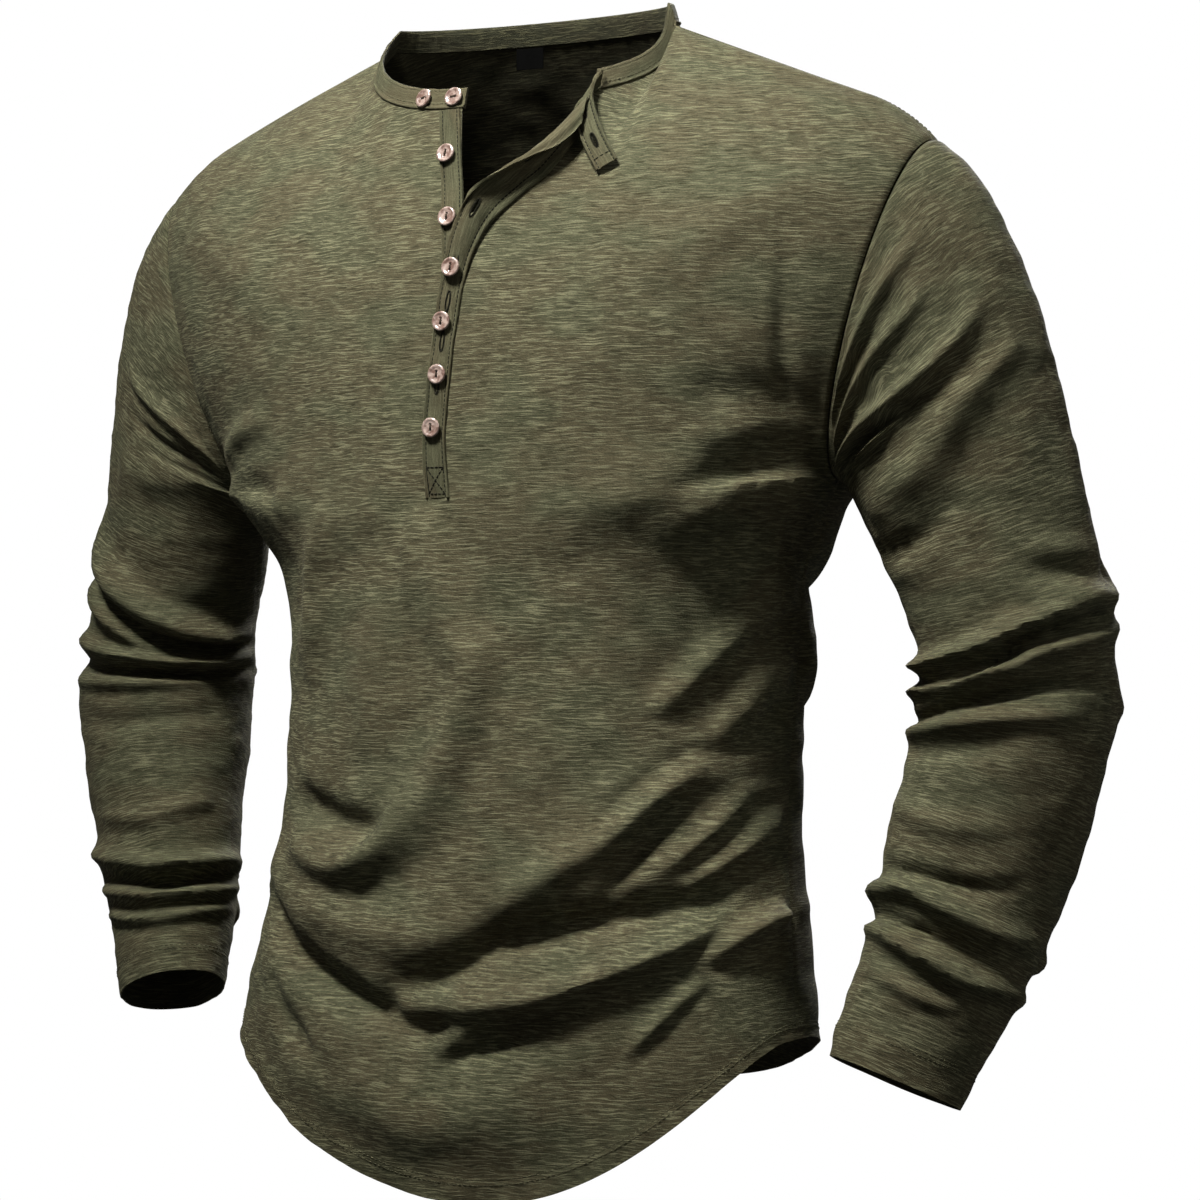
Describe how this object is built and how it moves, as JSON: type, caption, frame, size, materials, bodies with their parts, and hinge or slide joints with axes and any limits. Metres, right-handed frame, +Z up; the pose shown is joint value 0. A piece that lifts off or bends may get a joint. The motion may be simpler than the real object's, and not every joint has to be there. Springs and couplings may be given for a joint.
{
  "type": "long-sleeve henley shirt",
  "caption": "Long-sleeve henley shirt in slub jersey, filled out as worn, with an open band neck, a buttoned placket rolled open at the top and a curved hem.",
  "frame": {"origin": "middle of the neck opening, level with the high points of the shoulders, where the wearer's neck and shoulders hold the shirt up", "axes": "+Z up, the front faces -Y, +X to the wearer's left"},
  "size_m": [0.6558, 0.2375, 0.6489],
  "materials": {
    "jersey": "slub cotton jersey, matt, with thin uneven streaks along its courses",
    "band_jersey": "the same jersey doubled and edge-stitched",
    "shell_button": "polished shell-look resin, mottled",
    "woven_label": "black woven satin, bare"
  },
  "bodies": {
    "root": {"front_body": "jersey", "back_body": "jersey", "sleeve_left": "jersey", "sleeve_right": "jersey", "neck_band": "band_jersey", "band_tab": "band_jersey", "placket_under": "band_jersey", "placket_over": "band_jersey", "button_1": "shell_button", "button_2": "shell_button", "button_3": "shell_button", "button_4": "shell_button", "button_5": "shell_button", "button_6": "shell_button", "button_band_1": "shell_button", "button_band_2": "shell_button", "neck_label": "woven_label"}
  },
  "joints": []
}
